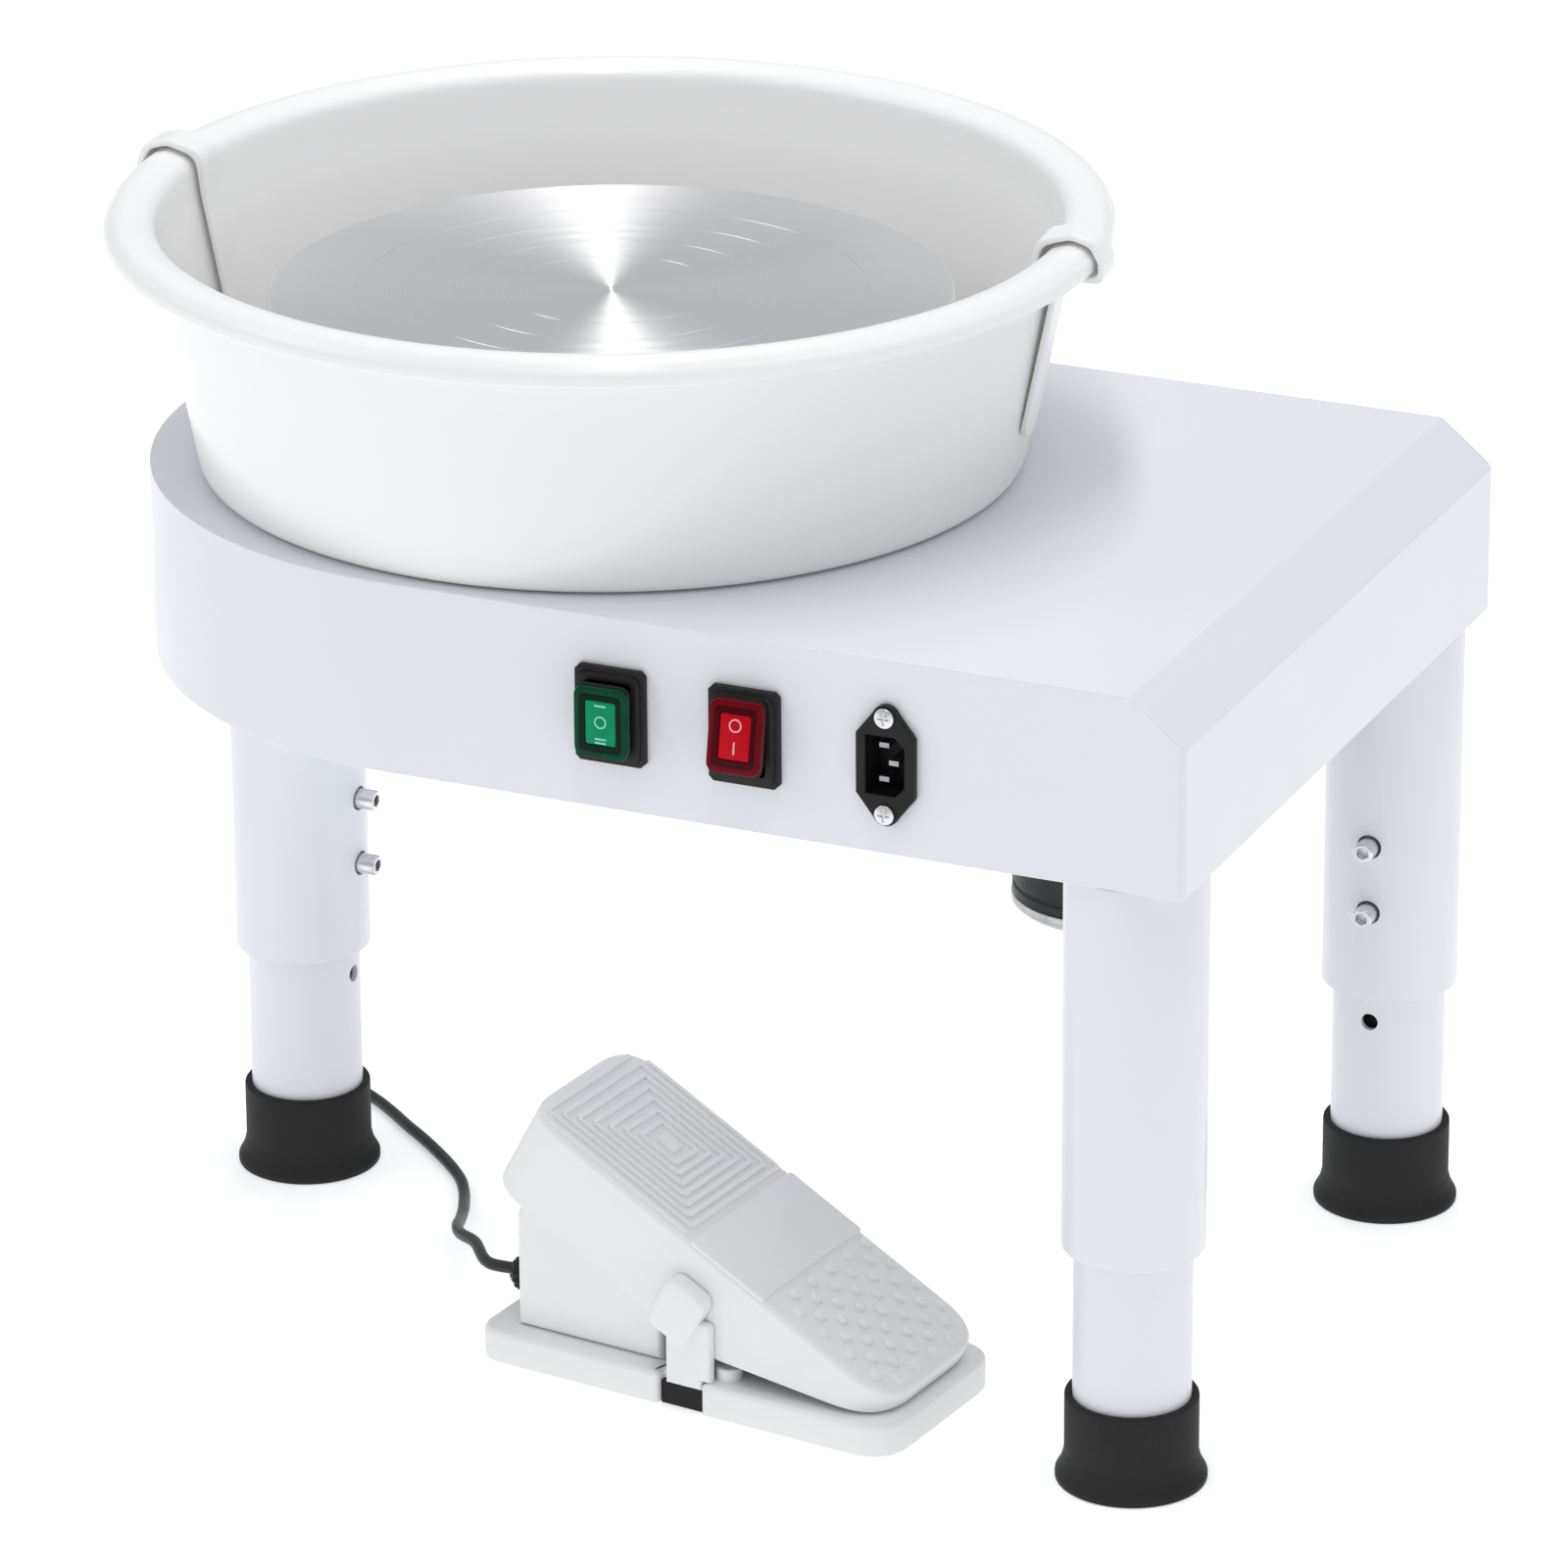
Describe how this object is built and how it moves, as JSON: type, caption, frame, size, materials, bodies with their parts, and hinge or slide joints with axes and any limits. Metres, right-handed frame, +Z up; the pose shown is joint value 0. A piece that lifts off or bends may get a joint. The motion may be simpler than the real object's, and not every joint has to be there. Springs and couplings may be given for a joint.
{
  "type": "pottery wheel",
  "caption": "Electric pottery wheel: round head in a split splash basin on a box body with telescopic legs, panel switches and a corded foot pedal.",
  "frame": {"origin": "middle of the footprint, on the floor under the feet", "axes": "+X from the body's round end to its square end, +Z up along the wheel's axis, switch panel facing -Y"},
  "size_m": [0.529, 0.4094, 0.4565],
  "materials": {
    "enamel": "smooth satin white powder coat, faintly cool",
    "foot_rubber": "matt moulded black rubber",
    "zinc_fasteners": "bright zinc plate",
    "spun_aluminium": "lathe-turned face with fine circular tool marks",
    "cast_aluminium": "machined, satin",
    "steel": "machined, lightly oiled",
    "motor_black": "satin black paint",
    "black_plastic": "fine moulded texture",
    "green_lens": "translucent, polished",
    "red_lens": "translucent, polished",
    "basin_plastic": "glossy warm white moulding",
    "pedal_plastic": "satin white moulding",
    "cord_sheath": "smooth black sheath"
  },
  "bodies": {
    "stand": {"leg_tube_left": "enamel", "leg_tube_front": "enamel", "leg_tube_back": "enamel", "foot_left": "foot_rubber", "foot_front": "foot_rubber", "foot_back": "foot_rubber", "pedal_base": "pedal_plastic", "pedal_rubber_strip": "foot_rubber", "pedal_housing": "pedal_plastic", "pedal_bracket_near": "pedal_plastic", "pedal_bracket_far": "pedal_plastic", "pedal_speed_sensor": "black_plastic", "pedal_cord_gland": "black_plastic", "pedal_cord": "cord_sheath"},
    "frame": {"body_shell": "enamel", "bottom_plate": "enamel", "leg_sleeve_left": "enamel", "leg_sleeve_front": "enamel", "leg_sleeve_back": "enamel", "drive_belt": "foot_rubber", "clamp_bolt_left_1": "zinc_fasteners", "clamp_bolt_left_2": "zinc_fasteners", "clamp_bolt_front_1": "zinc_fasteners", "clamp_bolt_front_2": "zinc_fasteners", "clamp_bolt_back_1": "zinc_fasteners", "clamp_bolt_back_2": "zinc_fasteners", "plate_screw_1": "zinc_fasteners", "plate_screw_2": "zinc_fasteners", "plate_screw_3": "zinc_fasteners", "plate_screw_4": "zinc_fasteners", "inlet_screw_1": "zinc_fasteners", "inlet_screw_2": "zinc_fasteners", "inlet_pin_live": "zinc_fasteners", "inlet_pin_earth": "zinc_fasteners", "inlet_pin_neutral": "zinc_fasteners", "bearing_housing": "cast_aluminium", "controller_box": "cast_aluminium", "bearing_lower": "steel", "bearing_upper": "steel", "motor_bracket": "steel", "motor_end_cap": "steel", "motor_can": "motor_black", "direction_switch_body": "black_plastic", "power_switch_body": "black_plastic", "inlet_housing": "black_plastic", "body_cord_gland": "black_plastic"},
    "wheel": {"wheel_head": "spun_aluminium", "wheel_hub": "cast_aluminium", "wheel_shaft": "steel", "wheel_pulley": "cast_aluminium"},
    "motor_rotor": {"motor_shaft": "steel", "motor_pulley": "cast_aluminium"},
    "direction_rocker": {"direction_rocker": "green_lens"},
    "power_rocker": {"power_rocker": "red_lens"},
    "basin_front": {"basin_front": "basin_plastic"},
    "basin_rear": {"basin_rear": "basin_plastic"},
    "treadle": {"pedal_treadle": "pedal_plastic", "pedal_pivot_pin": "steel"}
  },
  "joints": [
    {"name": "height_adjust", "type": "slide", "parent": "stand", "child": "frame", "axis": [0, 0, 1], "range_m": [-0.052, 0.052], "deforming": ["pedal_cord"]},
    {"name": "wheel_spin", "type": "hinge", "parent": "frame", "child": "wheel", "pos_m": [-0.05535, 0, 0.4126], "axis": [0, 0, 1], "continuous": true},
    {"name": "motor_spin", "type": "hinge", "parent": "frame", "child": "motor_rotor", "pos_m": [0.16265, 0, 0.27], "axis": [0, 0, 1], "continuous": true},
    {"name": "direction_rocker_tilt", "type": "hinge", "parent": "frame", "child": "direction_rocker", "pos_m": [0.02515, -0.17, 0.3024], "axis": [1, 0, 0], "range_deg": [-11, 11]},
    {"name": "power_rocker_tilt", "type": "hinge", "parent": "frame", "child": "power_rocker", "pos_m": [0.08235, -0.17, 0.3024], "axis": [1, 0, 0], "range_deg": [0, 22]},
    {"name": "basin_front_slide", "type": "slide", "parent": "frame", "child": "basin_front", "axis": [0.0785, -0.9969, 0], "range_m": [0, 0.25]},
    {"name": "basin_rear_slide", "type": "slide", "parent": "frame", "child": "basin_rear", "axis": [-0.0785, 0.9969, 0], "range_m": [0, 0.25]},
    {"name": "treadle_pivot", "type": "hinge", "parent": "stand", "child": "treadle", "pos_m": [0.05052, -0.11828, 0.044], "axis": [-0.1219, -0.9925, 0], "range_deg": [0, 12]}
  ],
  "couplings": [
    {"joint": "motor_spin", "follows": "wheel_spin", "ratio": 5}
  ]
}
